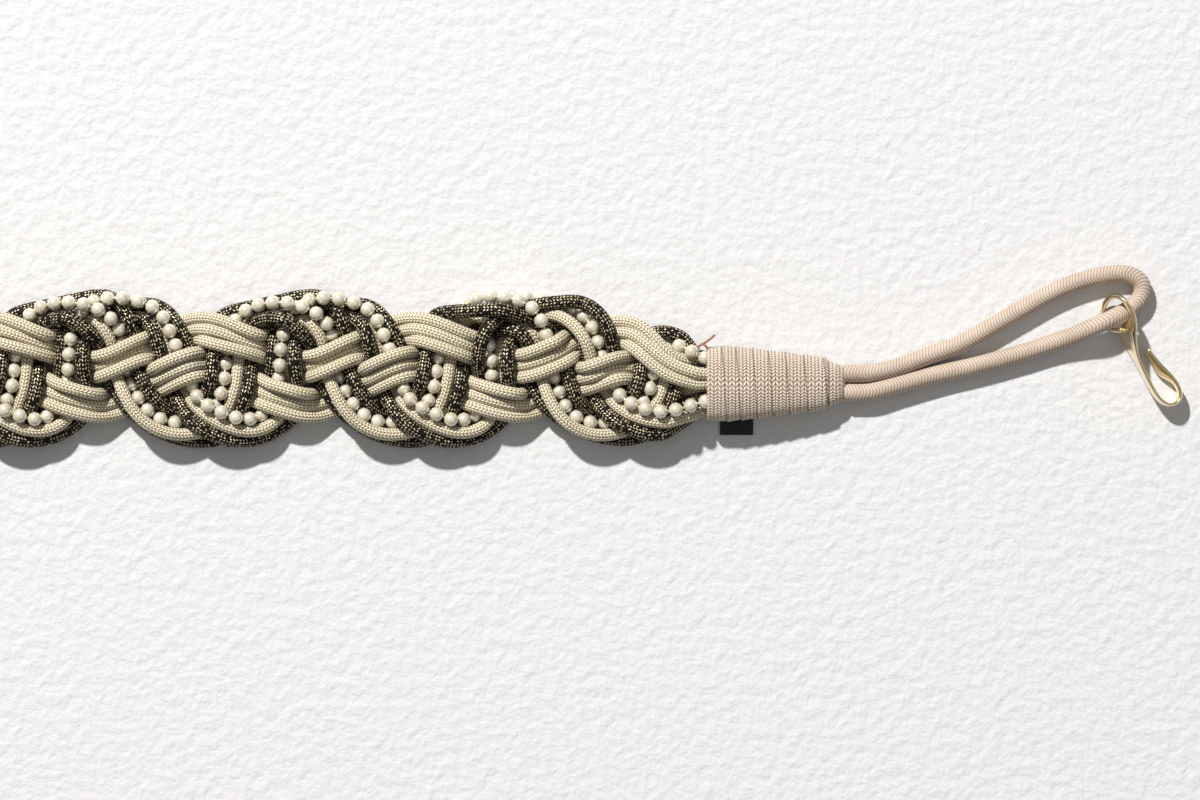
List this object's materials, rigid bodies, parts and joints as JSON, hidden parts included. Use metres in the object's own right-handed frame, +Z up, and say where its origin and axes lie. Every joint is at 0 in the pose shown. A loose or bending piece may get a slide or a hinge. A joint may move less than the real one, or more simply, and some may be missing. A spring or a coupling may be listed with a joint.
{
  "type": "rope belt",
  "caption": "Flat braided rope belt of plain cords, gold-flecked cords and pearl strings, with tape-wrapped ends, elastic loops and an S-shaped hook.",
  "frame": {"origin": "on the surface that the belt lies on, under the middle of its braid and wraps", "axes": "+X along the belt from the left wrap to the right wrap and the hook, +Y across it, +Z up"},
  "size_m": [0.7266, 0.0607, 0.0165],
  "materials": {
    "beige_cord": "satin braided cord",
    "black_gold_cord": "black braided cord with gold flecks",
    "pearl_string": "pearl gloss",
    "wrap_tape": "matt woven tape",
    "elastic_cord": "ribbed elastic cord",
    "gold_hook": "polished gold plate",
    "label_cloth": "black woven tab, bare"
  },
  "bodies": {
    "root": {"upper_beige_1": "beige_cord", "upper_beige_2": "beige_cord", "upper_beige_3": "beige_cord", "lower_beige_1": "beige_cord", "lower_beige_2": "beige_cord", "lower_beige_3": "beige_cord", "mixed_one_black_outside": "black_gold_cord", "mixed_one_pearls": "pearl_string", "mixed_one_beige": "beige_cord", "mixed_one_black_inside": "black_gold_cord", "mixed_two_black_outside": "black_gold_cord", "mixed_two_pearls": "pearl_string", "mixed_two_beige": "beige_cord", "mixed_two_black_inside": "black_gold_cord", "right_wrap": "wrap_tape", "left_wrap": "wrap_tape", "right_loop": "elastic_cord", "left_loop": "elastic_cord", "s_hook": "gold_hook", "label_tab": "label_cloth"}
  },
  "joints": []
}
